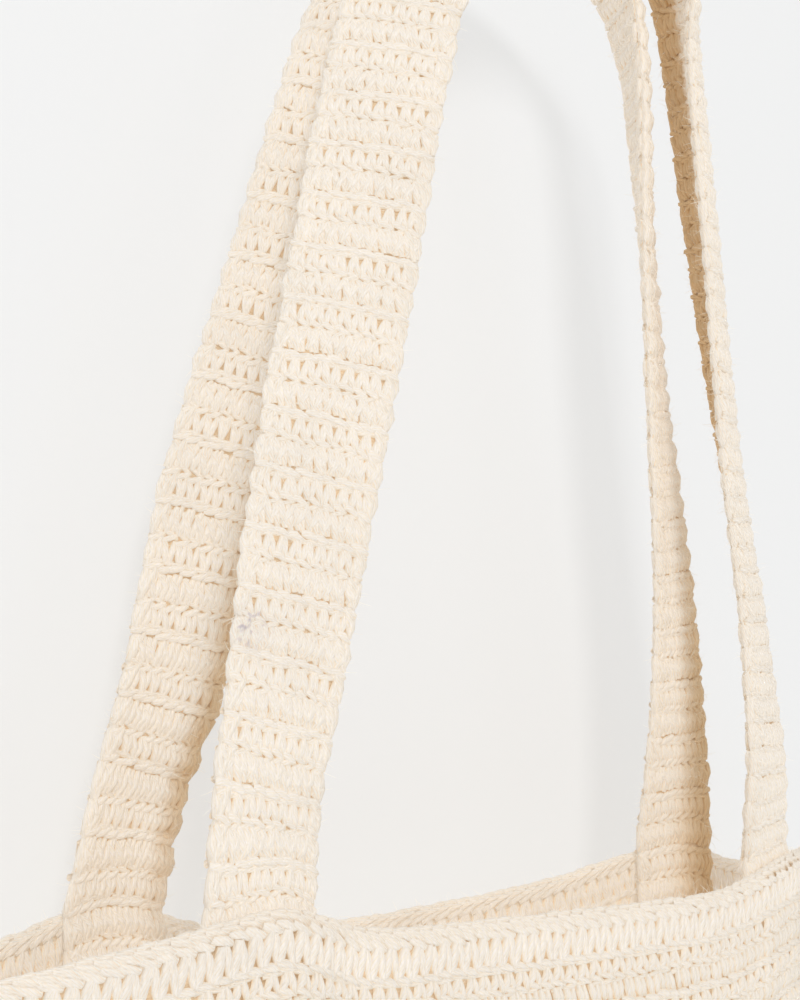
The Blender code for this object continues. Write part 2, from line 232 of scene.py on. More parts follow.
BACK_RIGHT = (
    (0.085, 0.862, 0.278, 4, 4, 0.96),
    (0.165, 0.856, 0.262, 14, 6, 0.98),
    (0.250, 0.836, 0.243, 21, 8, 1.00),
    (0.345, 0.796, 0.221, 27, 10, 1.00),
    (0.440, 0.744, 0.198, 33, 11, 1.00),
    (0.540, 0.694, 0.172, 38, 12, 1.00),
    (0.640, 0.646, 0.147, 43, 12, 1.00),
    (0.740, 0.604, 0.120, 49, 12, 1.00),
    (0.830, 0.568, 0.108, 54, 12, 1.00),
    (0.908, 0.516, 0.134, 62, 11, 1.00),
    (0.957, 0.410, 0.176, 76, 9, 1.00),
    (0.989, 0.240, 0.220, 87, 6, 1.00),
)

# Parts of the straps that carry painted shade, and the crumpled edge: strength, leg (-1 left, 1 right),
# heights and margins from the strap's left edge, each from where the zone starts to where it is full.
ZONES = {
    "front_right_inside": (1.00, 1, (-0.37, -0.20), (0.024, 0.029)),
    "back_left_edge": (0.85, -1, (-0.44, -0.36), (0.015, 0.004)),
    "back_right_leg": (0.95, 1, (-0.15, -0.35), (0.012, 0.038)),
    "crumpled_edge": (1.00, -1, (-0.44, -0.40), (0.016, 0.006)),
}
ZONE_FROM_MIDDLE = 0.02
BARE_CROWN = (-0.02, -0.07)


def leg_column(leg, name):
    return np.array([row[LEG_COLUMNS.index(name)] for row in leg], float)


def smooth_loop(points, steps):
    """A closed Catmull-Rom curve through the points, with this many steps from each to the next."""
    points = np.asarray(points, float)
    before, after = np.roll(points, 1, axis=0), np.roll(points, -1, axis=0)
    beyond = np.roll(points, -2, axis=0)
    made = [spline_step(before, points, after, beyond, t) for t in np.arange(steps) / steps]
    return np.stack(made, axis=1).reshape(-1, *points.shape[1:])


def smooth_run(points, steps):
    """An open Catmull-Rom curve through the points, with this many steps from each to the next."""
    points = np.asarray(points, float)
    padded = np.concatenate([2 * points[:1] - points[1:2], points, 2 * points[-1:] - points[-2:-1]])
    ends = padded[:-3], padded[1:-2], padded[2:-1], padded[3:]
    made = [spline_step(*ends, t) for t in np.arange(steps) / steps]
    run = np.stack(made, axis=1).reshape(-1, *points.shape[1:])
    return np.concatenate([run, points[-1:]])


def spline_step(before, start, end, beyond, t):
    return 0.5 * (
        2 * start
        + (end - before) * t
        + (2 * before - 5 * start + 4 * end - beyond) * t**2
        + (3 * start - before - 3 * end + beyond) * t**3
    )


def directions(path):
    """The unit direction of a path at each of its points."""
    along = np.gradient(path, axis=0)
    return along / np.linalg.norm(along, axis=1, keepdims=True)


def run_along(path):
    """The distance run along a path up to each of its points."""
    return np.cumsum(np.linalg.norm(np.diff(path, axis=0, prepend=path[:1]), axis=1))


def run_round(ring):
    return run_along(np.concatenate([ring, ring[:1]]))


def wall_section(down, width, depth, openness, level):
    """The outer wall's rows at one height, as points in the order of the mouth's rows."""
    reach, mouth_depth, fall, side = np.array(list(MOUTH.values()), float).T
    oval = 0.5 + 0.5 * side * (1 - np.abs(reach) ** 3) ** (1 / 3)
    shape = openness * mouth_depth + (1 - openness) * oval
    shape = 0.5 + (shape - 0.5) * depth
    shape = shape + fold_swell(reach, side, down)
    x = BODY_SHIFT + reach * width * BODY_WIDTH / 2
    y = MOUTH_FRONT + shape * MOUTH_DEPTH
    z = WALL_TOP - fall * level * RIM_SAG - down * BODY_HEIGHT
    return np.stack([x, y, z], axis=1)


def fold_swell(reach, side, down):
    """How far the folds push each row of a section out, as a share of the mouth depth."""
    swell = np.zeros(len(reach))
    for fold in FOLDS.values():
        at, fold_side, width, height, top, bottom = fold
        if not top < down < bottom:
            continue
        along = math.sin(math.pi * (down - top) / (bottom - top)) ** 2
        across = np.exp(-(((reach - at) / width) ** 2))
        swell += np.where(side == fold_side, fold_side * height * along * across, 0.0)
    return swell


def wall_values(down):
    """Width, depth, openness and level at a share of the body height."""
    at, *columns = np.array(list(WALLS.values())).T
    return [np.interp(down, at, column) for column in columns]


def outward(ring):
    """Level normals of a closed ring of wall points, pointing out of the bag."""
    along = np.roll(ring, -1, axis=0) - np.roll(ring, 1, axis=0)
    normals = np.stack([along[:, 1], -along[:, 0], np.zeros(len(ring))], axis=1)
    return normals / np.linalg.norm(normals, axis=1, keepdims=True)


def sewn_station(down, row_name, offsets):
    """Points across a strap that lies inside the wall at this height, centred on a row of the mouth."""
    ring = smooth_loop(wall_section(down, *wall_values(down)), SEAM_STEPS)
    inside = ring - outward(ring) * (BODY_WALL + SEAM_GAP + STRAP_THICKNESS / 2)
    start = list(MOUTH).index(row_name) * SEAM_STEPS
    inside = np.roll(inside, len(inside) // 2 - start, axis=0)
    along = run_along(inside)
    along -= along[len(inside) // 2]
    return np.stack([np.interp(offsets, along, inside[:, k]) for k in range(3)], axis=1)


def curled_section(centre, tangent, face, offsets, curl):
    """Points across a free strap whose edges curl away from the side that it faces."""
    across = np.cross(tangent, face)
    half = abs(offsets[0])
    radius = half / math.radians(max(curl, 1.0))
    angle = offsets / radius
    side, sink = radius * np.sin(angle), radius * (1 - np.cos(angle))
    return centre + side[:, None] * across - sink[:, None] * face


def leg_centres(leg, side, spacing):
    """The middle line of a free leg. side: -1 left, 1 right."""
    x = side * leg_column(leg, "reach") * spacing / 2
    y = leg_column(leg, "back") * MOUTH_DEPTH
    z = STRAP_THICKNESS / 2 + STRAP_DROP * (leg_column(leg, "rise") - 1)
    return np.stack([x, y, z], axis=1)


def strap_faces(tangents, twists):
    """The direction that the front face of each row looks in. twists: degrees turned outwards."""
    sideways = np.cross(tangents, TO_BACK)
    sideways /= np.linalg.norm(sideways, axis=1, keepdims=True)
    forward = np.cross(tangents, sideways)
    turned = np.radians(twists)[:, None]
    return np.cos(turned) * forward + np.sin(turned) * sideways


def joined(left, right, name, crown):
    return np.concatenate([leg_column(left, name), [crown], leg_column(right, name)[::-1]])


def grid_faces(numbers):
    """Quads over a grid of points that is given by the points' numbers."""
    corners = [numbers[:-1, :-1], numbers[:-1, 1:], numbers[1:, 1:], numbers[1:, :-1]]
    return np.stack(corners, axis=-1).reshape(-1, 4)


def new_mesh(name, points, faces, uv_name, uv, **values):
    """A mesh with a UV map and named values on its points."""
    mesh = bpy.data.meshes.new(name)
    mesh.from_pydata(np.reshape(points, (-1, 3)).tolist(), [], faces.tolist())
    mesh.uv_layers.new(name=uv_name).data.foreach_set("uv", np.reshape(uv, (-1, 2))[faces].ravel())
    for key, value in values.items():
        wide = np.ndim(value) > 1
        stored_as = mesh.attributes.new(key, "FLOAT_VECTOR" if wide else "FLOAT", "POINT")
        stored_as.data.foreach_set("vector" if wide else "value", np.ravel(value))
    return mesh


class Fabric:
    """A fabric's middle surface as a grid of points with outward normals, rows down its length."""

    def __init__(self, name, points, lengths, widths, sign, closed=False):
        if closed:
            points = np.concatenate([points, points[:, :1]], axis=1)
        self.name, self.points, self.lengths, self.widths = name, points, lengths, widths
        self.sign, self.closed = sign, closed
        self.length, self.width, self.start = lengths[-1], widths[-1] - widths[0], widths[0]
        down = np.gradient(points, axis=0)
        across = np.gradient(points, axis=1)
        if closed:
            across[:, 0] = across[:, -1] = points[:, 1] - points[:, -2]
        normals = sign * np.cross(across, down)
        self.normals = normals / np.linalg.norm(normals, axis=2, keepdims=True)
        self.raised = np.zeros(points.shape[:2])
        self.shaded = np.zeros(points.shape[:2])

    def as_object(self):
        """The grid as a mesh whose UV map runs 0 to 1 over the fabric's width and length."""
        rows, columns = self.points.shape[:2]
        u = np.broadcast_to((self.widths - self.start) / self.width, (rows, columns))
        v = np.broadcast_to((self.lengths / self.length)[:, None], (rows, columns))
        extra = np.stack([self.raised, self.shaded, 0 * self.raised], axis=2)
        faces = grid_faces(np.arange(rows * columns).reshape(rows, columns))
        values = {"outward": self.normals, "extra": extra}
        mesh = new_mesh(self.name, self.points, faces, "fabric", np.stack([u, v], axis=2), **values)
        item = bpy.data.objects.new(self.name, mesh)
        bpy.context.scene.collection.objects.link(item)
        return item


def strap_fabric(name, left, right, spacing, side):
    crown = np.array([[0.0, side * ARCH_STAGGER, STRAP_THICKNESS / 2]])
    centres = np.concatenate(
        [leg_centres(left, -1, spacing), crown, leg_centres(right, 1, spacing)[::-1]]
    )
    tangents = directions(centres)
    faces = strap_faces(tangents, joined(left, right, "twist", CROWN_TWIST))
    curls = joined(left, right, "curl", CROWN_CURL)
    widths = joined(left, right, "width", CROWN_WIDTH)
    across = STRAP_ACROSS
    free = [
        curled_section(*row) for row in zip(centres, tangents, faces, widths[:, None] * across, curls)
    ]
    downs = [down / BODY_HEIGHT for down in (STRAP_OVERLAP, STRAP_OVERLAP / 2, 0.0, -STRAP_RISE)]
    wall = "front" if side < 0 else "back"
    left_end = [sewn_station(down, wall + "_strap_left", -side * across * widths[0]) for down in downs]
    right_end = [
        sewn_station(down, wall + "_strap_right", side * across * widths[-1]) for down in downs[::-1]
    ]
    points = smooth_run(left_end + free + right_end, STRAP_STEPS)
    lengths = run_along(points[:, points.shape[1] // 2])
    return Fabric(name + "_fabric", points, lengths, across, 1)


def body_fabric():
    control = [wall_section(*row) for row in WALLS.values()]
    downs = smooth_run(np.array(control).reshape(len(control), -1), WALL_STEPS)
    outer = [smooth_loop(flat.reshape(-1, 3), MOUTH_STEPS) for flat in downs]
    rings = [ring - outward(ring) * BODY_WALL / 2 for ring in outer]
    rings = [rings[0] + UP * RIM_REACH] + rings
    middle, lowest = rings[-1].mean(axis=0), rings[-1]
    for depth, width, rise in BASE_RINGS:
        rings.append(middle + (lowest - middle) * np.array((width, depth, 1.0)) + UP * rise)
    points = np.array(rings)
    steps = np.linalg.norm(np.diff(points, axis=0, prepend=points[:1]), axis=2).mean(axis=1)
    return Fabric("body_fabric", points, np.cumsum(steps), run_round(points[0]), -1, closed=True)


def edging_fabric():
    """A narrow upright band round the rim, for the chain edging to be laid on."""
    rim = smooth_loop(wall_section(*WALLS["rim"]), MOUTH_STEPS)
    rim = rim - outward(rim) * (BODY_WALL / 2) + UP * (EDGING_GAP + EDGING_RADIUS)
    points = rim[None] + UP * EDGING_ROWS[:, None, None]
    lengths = EDGING_ROWS[0] - EDGING_ROWS
    return Fabric("edging_fabric", points, lengths, run_round(rim), -1, closed=True)


# Yarn strands of one stitch: a path of three points and a radius in mm. A point is across in stitches, down
# in rows or pairs of rows, and mm over the fabric's middle. Neighbours overlap, so rows run on.

RIDGE = (
    (((-0.22, 0.020, 1.05), (0.42, 0.038, 1.80), (1.16, 0.100, 1.00)), 1.34),
    (((-0.16, 0.135, 0.95), (0.50, 0.118, 1.30), (1.16, 0.120, 0.95)), 1.05),
)
UPPER_POSTS = (
    (((0.46, 0.120, 0.90), (0.34, 0.290, 1.55), (0.10, 0.480, 1.00)), 1.34),
    (((0.60, 0.120, 0.85), (0.72, 0.290, 1.50), (0.94, 0.480, 0.95)), 1.30),
)
MIDDLE_LOOPS = (
    (((-0.15, 0.425, 0.90), (0.35, 0.455, 1.75), (1.05, 0.535, 1.00)), 1.12),
    (((-0.10, 0.585, 0.85), (0.48, 0.560, 1.35), (1.02, 0.500, 0.95)), 0.95),
)
LOWER_POSTS = (
    (((0.00, 0.560, 0.95), (0.20, 0.730, 1.60), (0.56, 0.975, 0.95)), 1.36),
    (((0.56, 0.560, 0.90), (0.68, 0.740, 1.45), (0.98, 0.975, 0.90)), 1.30),
)
CROSSED_POST = ((((1.02, 0.600, 1.00), (0.66, 0.770, 2.00), (0.20, 0.930, 0.90)), 1.22),)
PAIR = RIDGE + UPPER_POSTS + MIDDLE_LOOPS + LOWER_POSTS
CROSSED_PAIR = PAIR + CROSSED_POST
PLAIN_PAIR = RIDGE[:1] + UPPER_POSTS + LOWER_POSTS
TOP_POSTS = (
    (((-0.15, -0.36, 0.95), (0.40, -0.22, 1.30), (1.05, -0.06, 1.00)), 1.50),
    (((0.44, -0.10, 1.00), (0.26, 0.46, 1.20), (0.06, 1.04, 1.00)), 1.70),
    (((0.58, -0.10, 1.00), (0.76, 0.46, 1.10), (0.90, 1.04, 1.00)), 1.66),
)
# Across in mm here: the loops down a strap's left edge, one for each row, and the chain round the rim
EDGE_LOOP = (
    (((1.10, -0.10, 0.10), (-0.20, 0.45, 0.25), (1.10, 1.08, -0.10)), 1.90),
    (((0.10, 0.05, 1.10), (1.30, 0.50, 2.05), (3.70, 1.00, 1.50)), 1.20),
    (((0.10, 0.05, -1.10), (1.30, 0.50, -2.05), (3.70, 1.00, -1.50)), 1.20),
)
# Down in mm here
CHAIN = (
    (((-0.42, -1.35, 0.70), (0.40, -0.60, 1.35), (1.30, 1.55, 1.00)), 1.30),
    (((-0.42, -1.35, -0.70), (0.40, -0.60, -1.35), (1.30, 1.55, -1.00)), 1.30),
    (((-0.30, -1.90, 0.55), (0.45, -2.25, 0.00), (1.20, -1.90, -0.55)), 1.20),
)


def strand_rows(points, radius, rings, sides, spread):
    """A strand as rows of points round a smooth path, open underneath unless spread is 180."""
    path = smooth_run(points, (rings - 1) // (len(points) - 1))
    tangent = directions(path)
    side = np.cross(tangent, UP)
    side /= np.linalg.norm(side, axis=1, keepdims=True)
    top = np.cross(side, tangent)
    swell = radius * (STRAND_ENDS + STRAND_GAIN * np.sin(np.linspace(0, math.pi, len(path))))[:, None, None]
    angle = np.radians(np.linspace(-spread, spread, sides + 1))[None, :, None]
    rows = path[:, None] + swell * (np.sin(angle) * side[:, None] + np.cos(angle) * top[:, None])
    round_it = np.linspace(-spread, spread, sides + 1) * math.pi / 180 * radius
    uv = np.broadcast_arrays(run_along(path)[:, None], round_it[None])
    return rows, np.stack(uv, axis=2) * 1000


def stitch_mesh(name, strands, across, down, rings=5, sides=4, spread=100.0, mirror=1):
    """One stitch, lying flat: x across, y down, z over the fabric. mirror: -1 turns it end for end in y.

    Round tubes, with a spread of 180, lie on an edge and count as on top all round.
    """
    points, faces, uvs, depths, numbers = [], [], [], [], []
    for number, (path, radius) in enumerate(strands):
        path = np.array(path) * np.array((across, down * mirror, 0.001))
        rows, uv = strand_rows(path, radius * 0.001, rings, sides, spread)
        count = rows.shape[0] * rows.shape[1]
        faces.append(grid_faces(np.arange(count).reshape(rows.shape[:2])) + count * number)
        points.append(rows.reshape(-1, 3))
        uvs.append(uv.reshape(-1, 2))
        heights = np.clip((points[-1][:, 2] - DEEP) / (SHALLOW - DEEP), 0, 1)
        depths.append(heights if spread < 180 else np.full(count, ROUND_STRAND))
        numbers.append(np.full(count, number))
    points, faces, uvs, depths = (np.concatenate(kind) for kind in (points, faces, uvs, depths))
    mesh = new_mesh(name, points, faces, "yarn", uvs, depth=depths)
    mesh.attributes.new("strand", "INT", "POINT").data.foreach_set("value", np.concatenate(numbers))
    return mesh


# Node trees


def add(tree, kind, inputs=None, **settings):
    """A new node with its settings. An input takes a value or another node's output."""
    made = tree.nodes.new(kind)
    for name, value in settings.items():
        setattr(made, name, value)
    for key, value in (inputs or {}).items():
        if isinstance(value, bpy.types.NodeSocket):
            tree.links.new(value, made.inputs[key])
        else:
            made.inputs[key].default_value = value
    return made


def sums(tree, operation, *values, kind="ShaderNodeMath"):
    return add(tree, kind, dict(enumerate(values)), operation=operation).outputs[0]


def vectors(tree, operation, *values):
    return sums(tree, operation, *values, kind="ShaderNodeVectorMath")


def parts(tree, vector):
    return add(tree, "ShaderNodeSeparateXYZ", {0: vector}).outputs


def step(tree, kind, **inputs):
    """The first output of a new geometry node."""
    return add(tree, "GeometryNode" + kind, inputs).outputs[0]


def scaled(tree, vector, factor):
    return add(tree, "ShaderNodeVectorMath", {0: vector, "Scale": factor}, operation="SCALE").outputs[0]


def joined_values(tree, **values):
    """A vector from its named parts."""
    return add(tree, "ShaderNodeCombineXYZ", values).outputs[0]


def noise(tree, place, scale, detail, roughness=0.5):
    inputs = {"Vector": place, "Scale": scale, "Detail": detail, "Roughness": roughness}
    return add(tree, "ShaderNodeTexNoise", inputs).outputs


def random_vector(tree, reach, seed, **inputs):
    """A random vector for each element, each part between its reach downwards and upwards."""
    inputs = {0: tuple(-r for r in reach), 1: reach, "Seed": seed, **inputs}
    return add(tree, "FunctionNodeRandomValue", inputs, data_type="FLOAT_VECTOR").outputs[0]


def attribute(tree, name, data_type):
    return add(tree, "GeometryNodeInputNamedAttribute", {"Name": name}, data_type=data_type).outputs[0]


def stored(tree, geometry, name, value, data_type, domain):
    inputs = {"Geometry": geometry, "Name": name, "Value": value}
    node = add(tree, "GeometryNodeStoreNamedAttribute", inputs, data_type=data_type, domain=domain)
    return node.outputs[0]


GRID_INPUTS = ("Rows", "Columns", "First Row", "First Column", "Row Height", "Column Width")
STITCH_INPUTS = {
    "Geometry": ["Stitch"],
    "Object": ["Fabric"],
    "Int": ["Rows", "Columns", "Seed"],
    "Float": list(GRID_INPUTS[2:])
    + ["Fabric Start", "Fabric Width", "Fabric Length", "Side", "Unevenness", "Swelling", "Shading"],
    "Bool": ["Turn Faces"],
    "Material": ["Yarn"],
}


def open_tree(name, inputs):
    tree = bpy.data.node_groups.new(name, "GeometryNodeTree")
    for kind, labels in inputs.items():
        for label in labels:
            tree.interface.new_socket(label, in_out="INPUT", socket_type="NodeSocket" + kind)
    tree.interface.new_socket("Geometry", in_out="OUTPUT", socket_type="NodeSocketGeometry")
    return tree, add(tree, "NodeGroupInput").outputs, add(tree, "NodeGroupOutput")


def flat_stitches(tree, given):
    """Rows and columns of a flat stitch, as one mesh whose points know their cell."""
    wide = sums(tree, "MULTIPLY", sums(tree, "SUBTRACT", given["Columns"], 1), given["Column Width"])
    tall = sums(tree, "MULTIPLY", sums(tree, "SUBTRACT", given["Rows"], 1), given["Row Height"])
    size = {"Size X": wide, "Size Y": tall, "Vertices X": given["Columns"], "Vertices Y": given["Rows"]}
    grid = add(tree, "GeometryNodeMeshGrid", size).outputs["Mesh"]
    x = sums(tree, "MULTIPLY_ADD", wide, 0.5, given["First Column"])
    y = sums(tree, "MULTIPLY_ADD", tall, 0.5, given["First Row"])
    grid = step(tree, "Transform", Geometry=grid, Translation=joined_values(tree, X=x, Y=y))
    copies = step(tree, "InstanceOnPoints", Points=grid, Instance=given["Stitch"])
    cell = step(tree, "InputIndex")
    copies = stored(tree, copies, "cell", cell, "INT", "INSTANCE")
    return step(tree, "RealizeInstances", Geometry=copies)


def uneven_place(tree, given):
    """The place of each point, with each strand a little out of place and the rows wandering."""
    cell, strand = attribute(tree, "cell", "INT"), attribute(tree, "strand", "INT")
    number = sums(tree, "MULTIPLY_ADD", cell, 16.0, strand)
    shift = random_vector(tree, STRAND_SHIFT, given["Seed"], ID=number)
    place = step(tree, "InputPosition")
    apart = joined_values(tree, Z=sums(tree, "MULTIPLY", given["Seed"], SEED_STEP))
    wander = noise(tree, vectors(tree, "ADD", place, apart), 1 / WANDER_REACH, 2.0, 0.6)["Color"]
    wander = vectors(tree, "SUBTRACT", wander, (0.5, 0.5, 0.5))
    wander = vectors(tree, "MULTIPLY", wander, ROW_WANDER)
    shift = scaled(tree, vectors(tree, "ADD", shift, wander), given["Unevenness"])
    return parts(tree, vectors(tree, "ADD", place, shift))


def fabric_samples(tree, given, flat):
    """The fabric's place, outward direction and extra values under each point of the flat stitches."""
    u = sums(tree, "SUBTRACT", flat["X"], given["Fabric Start"])
    u = sums(tree, "FRACT", sums(tree, "DIVIDE", u, given["Fabric Width"]))
    v = sums(tree, "DIVIDE", flat["Y"], given["Fabric Length"])
    v = add(tree, "ShaderNodeClamp", {"Value": v, "Min": 0.0002, "Max": 0.9998}).outputs[0]
    spot = joined_values(tree, X=u, Y=v)
    cloth = add(tree, "GeometryNodeObjectInfo", {"Object": given["Fabric"]}).outputs["Geometry"]
    fabric_uv = attribute(tree, "fabric", "FLOAT_VECTOR")
    values = [step(tree, "InputPosition")]
    values += [attribute(tree, name, "FLOAT_VECTOR") for name in ("outward", "extra")]
    sampled = []
    for value in values:
        inputs = {"Mesh": cloth, "UV Map": fabric_uv, "Sample UV": spot}
        sample = add(tree, "GeometryNodeSampleUVSurface", inputs, data_type="FLOAT_VECTOR")
        tree.links.new(value, next(s for s in sample.inputs if s.name == "Value" and s.enabled))
        sampled.append(next(s for s in sample.outputs if s.name == "Value" and s.enabled))
    return sampled


def stitch_tree():
    """Repeats a flat stitch in rows and columns, unevens it and bends it over a fabric."""
    tree, given, out = open_tree("rows_of_stitches", STITCH_INPUTS)
    yarn = flat_stitches(tree, given)
    flat = uneven_place(tree, given)
    place, outwards, extra = fabric_samples(tree, given, flat)
    extra = parts(tree, extra)
    height = sums(tree, "MULTIPLY_ADD", extra["X"], given["Swelling"], flat["Z"])
    height = sums(tree, "MULTIPLY", height, given["Side"])
    lift = scaled(tree, vectors(tree, "NORMALIZE", outwards), height)
    shade = sums(tree, "MULTIPLY", extra["Y"], given["Shading"])
    yarn = stored(tree, yarn, "shade", shade, "FLOAT", "POINT")
    yarn = step(tree, "SetPosition", Geometry=yarn, Position=vectors(tree, "ADD", place, lift))
    yarn = add(tree, "GeometryNodeFlipFaces", {"Mesh": yarn, "Selection": given["Turn Faces"]}).outputs[0]
    for name in ("cell", "strand"):
        yarn = step(tree, "RemoveAttribute", Geometry=yarn, Name=name)
    yarn = step(tree, "SetShadeSmooth", Geometry=yarn)
    yarn = step(tree, "RealizeInstances", Geometry=yarn)
    yarn = step(tree, "SetMaterial", Geometry=yarn, Material=given["Yarn"])
    tree.links.new(yarn, out.inputs[0])
    return tree


def settled(item, tree, values):
    """Runs a node tree on an object and keeps the result as its plain mesh."""
    modifier = item.modifiers.new("made", "NODES")
    modifier.node_group = tree
    for socket in tree.interface.items_tree:
        if socket.in_out == "INPUT" and socket.name in values:
            modifier[socket.identifier] = values[socket.name]
    seen = item.evaluated_get(bpy.context.evaluated_depsgraph_get())
    mesh = bpy.data.meshes.new_from_object(seen)
    item.modifiers.remove(modifier)
    item.data = mesh


def new_piece(name, mesh, slot, *nodes):
    item = bpy.data.objects.new(name, mesh)
    bpy.context.scene.collection.objects.link(item)
    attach(item, "root")
    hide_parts(*nodes)
    return item


def crocheted(name, stitch, fabric, cloth, grid, side, seed, look, node, **more):
    """A piece of yarn: rows and columns of a stitch over one side of a fabric."""
    item = new_piece(name, stitch, look[1], node)
    values = {
        **dict(zip(GRID_INPUTS, grid)),
        "Fabric": cloth,
        "Fabric Start": fabric.start,
        "Fabric Width": fabric.width,
        "Fabric Length": fabric.length,
        "Side": float(side),
        "Turn Faces": fabric.sign * side < 0,
        "Unevenness": 1.0,
        "Swelling": 0.0,
        "Shading": 0.0,
        "Seed": seed,
        "Yarn": look[0],
        **more,
    }
    settled(item, STITCHING, values)
    return item


def shell_faces(rows, columns, closed):
    """Faces of a thin shell: a grid of outer points, the same of inner ones, and the edges between them."""
    numbers = np.arange(2 * rows * columns).reshape(2, rows, columns)
    if closed:
        numbers = np.concatenate([numbers, numbers[:, :, :1]], axis=2)
    outer = numbers[0]
    made = [grid_faces(outer), grid_faces(numbers[1])[:, ::-1]]
    made += [grid_faces(numbers[:, 0].T)[:, ::-1], grid_faces(numbers[:, -1].T)]
    if not closed:
        made += [grid_faces(numbers[:, :, 0].T), grid_faces(numbers[:, :, -1].T)[:, ::-1]]
    return np.concatenate(made)


def skin(name, fabric, trim, look, node):
    """The fabric under the stitches, coloured with the gaps' painted shade: a thin closed shell, trimmed at
    the edges of an open fabric.
    """
    rows = sorted(set(range(0, len(fabric.lengths), SKIN_STEP)) | {len(fabric.lengths) - 1})
    columns = range(0, len(fabric.widths) - 1, 2)
    if not fabric.closed:
        columns = [j for j, width in enumerate(fabric.widths) if abs(width) <= trim]
    grids = fabric.points, fabric.normals, fabric.shaded
    points, normals, shade = (grid[rows][:, columns] for grid in grids)
    faces = shell_faces(len(rows), len(columns), fabric.closed)[:, :: fabric.sign]
    u = np.broadcast_to(np.arange(len(columns)) * SKIN_TEXTURE_STEP, shade.shape)
    v = np.broadcast_to(fabric.lengths[rows][:, None] * 1000, shade.shape)
    uv = np.stack([u, v], axis=2)
    verts = np.stack([points + normals * SKIN_HALF, points - normals * SKIN_HALF])
    depth = np.repeat((0.0, INNER_GROUND if fabric.closed else 0.0), shade.size)
    shades = np.concatenate([0 * shade.ravel(), shade.ravel()])
    mesh = new_mesh(name, verts, faces, "yarn", np.stack([uv, uv]), depth=depth, shade=shades)
    mesh.shade_smooth()
    mesh.materials.append(look[0])
    return new_piece(name, mesh, look[1], node)


FUZZ_INPUTS = {
    "Geometry": ["Fibre"],
    "Object": ["Yarn Piece"],
    "Float": ["Density"],
    "Int": ["Seed"],
    "Material": ["Yarn"],
}


def fuzz_tree():
    """Short loose fibres standing out of a piece of yarn at random."""
    tree, given, out = open_tree("loose_fibres", FUZZ_INPUTS)
    yarn = add(tree, "GeometryNodeObjectInfo", {"Object": given["Yarn Piece"]}).outputs["Geometry"]
    scatter = {"Mesh": yarn, "Density": given["Density"], "Seed": given["Seed"]}
    points = add(tree, "GeometryNodeDistributePointsOnFaces", scatter).outputs
    tilt = random_vector(tree, FIBRE_TILT, given["Seed"])
    tilt = add(tree, "FunctionNodeEulerToRotation", {0: tilt}).outputs[0]
    turn = {"Rotation": points["Rotation"], "Rotate By": tilt}
    turned = add(tree, "FunctionNodeRotateRotation", turn, rotation_space="LOCAL").outputs[0]
    sizes = {2: FIBRE_SIZES[0], 3: FIBRE_SIZES[1], "Seed": given["Seed"]}
    size = add(tree, "FunctionNodeRandomValue", sizes, data_type="FLOAT").outputs[1]
    copy = {"Points": points["Points"], "Instance": given["Fibre"], "Rotation": turned, "Scale": size}
    fibres = step(tree, "RealizeInstances", Geometry=step(tree, "InstanceOnPoints", **copy))
    fibres = step(tree, "SetMaterial", Geometry=fibres, Material=given["Yarn"])
    tree.links.new(fibres, out.inputs[0])
    return tree


def fuzzed(name, piece, density, seed, look, node):
    steps = np.linspace(0.0, 1.0, FIBRE_STEPS + 1)
    width = FIBRE_WIDTH * (1.0 - FIBRE_TAPER * steps)
    x = FIBRE_BEND * steps**2
    z = FIBRE_LENGTH * steps
    points = [(x[i], s * width[i] / 2, z[i]) for i in range(len(steps)) for s in (-1, 1)]
    mesh = bpy.data.meshes.new(name)
    mesh.from_pydata(points, [], grid_faces(np.arange(len(points)).reshape(-1, 2)).tolist())
    item = new_piece(name, mesh, look[1], node)
    settled(item, FUZZING, {"Yarn Piece": piece, "Density": density, "Seed": seed, "Yarn": look[0]})
    return item


# Materials

# Cream is the yarn's own colour. The gap colour is a darker, warmer painted shade where the strands sink,
# and Shaded is the painted shade on parts of the straps.
COLOURS = {
    "Cream": (0.938, 0.880, 0.806, 1.0),
    "Crevice": (0.800, 0.668, 0.515, 1.0),
    "Shaded": (0.90, 0.705, 0.465, 1.0),
}
# Painted shade in the gaps between the yarn's threads, and painted warm shade on the strands' flanks
THREAD_GAP_SHADE = (0.92, 0.86, 0.77, 1.0)
FLANK_SHADE = (1.0, 0.95, 0.865, 1.0)
STAIN = (0.60, 0.58, 0.70, 1.0)
FIBRE = (0.95, 0.91, 0.84, 1.0)
WHITE = (1.0, 1.0, 1.0, 1.0)
STAIN_AT = (-0.1437, -0.0212, -0.3165)
STAIN_SIZE = 0.0085
PLY_LEAN = 0.45
PLY_PITCH = 1.15
PLY_HEIGHT = 0.10
FLUFF_HEIGHT = 1.2
# Depths between which the colour goes from the gaps' painted shade to cream, and where the painted warm
# shade on the strands' flanks ends
GAP_SHADE_DEPTHS = (0.0, 0.46)
FLANK_SHADE_DEPTHS = (0.30, 0.90)
# The yarn's painted glow, an own light that stands in for light passed on between fibres, and how much of it
# the painted shade takes away
GLOW = 0.20
GLOW_LOST = 0.7

YARN_SURFACE = {
    "Emission Strength": 1.0,
    "Roughness": 0.95,
    "Specular IOR Level": 0.10,
    "Sheen Weight": 0.35,
    "Sheen Roughness": 0.6,
    "Sheen Tint": FIBRE,
}
# Loose fibres: their colour, and a faint painted glow of their own
FIBRE_SURFACE = {
    "Base Color": FIBRE,
    "Emission Color": FIBRE,
    "Emission Strength": 0.12,
    "Roughness": 1.0,
    "Specular IOR Level": 0.05,
}


def ranged(tree, value, limits, **settings):
    """A value made to run from 0 to 1 between two limits."""
    inputs = {"Value": value, "From Min": limits[0], "From Max": limits[1]}
    return add(tree, "ShaderNodeMapRange", inputs, **settings).outputs[0]


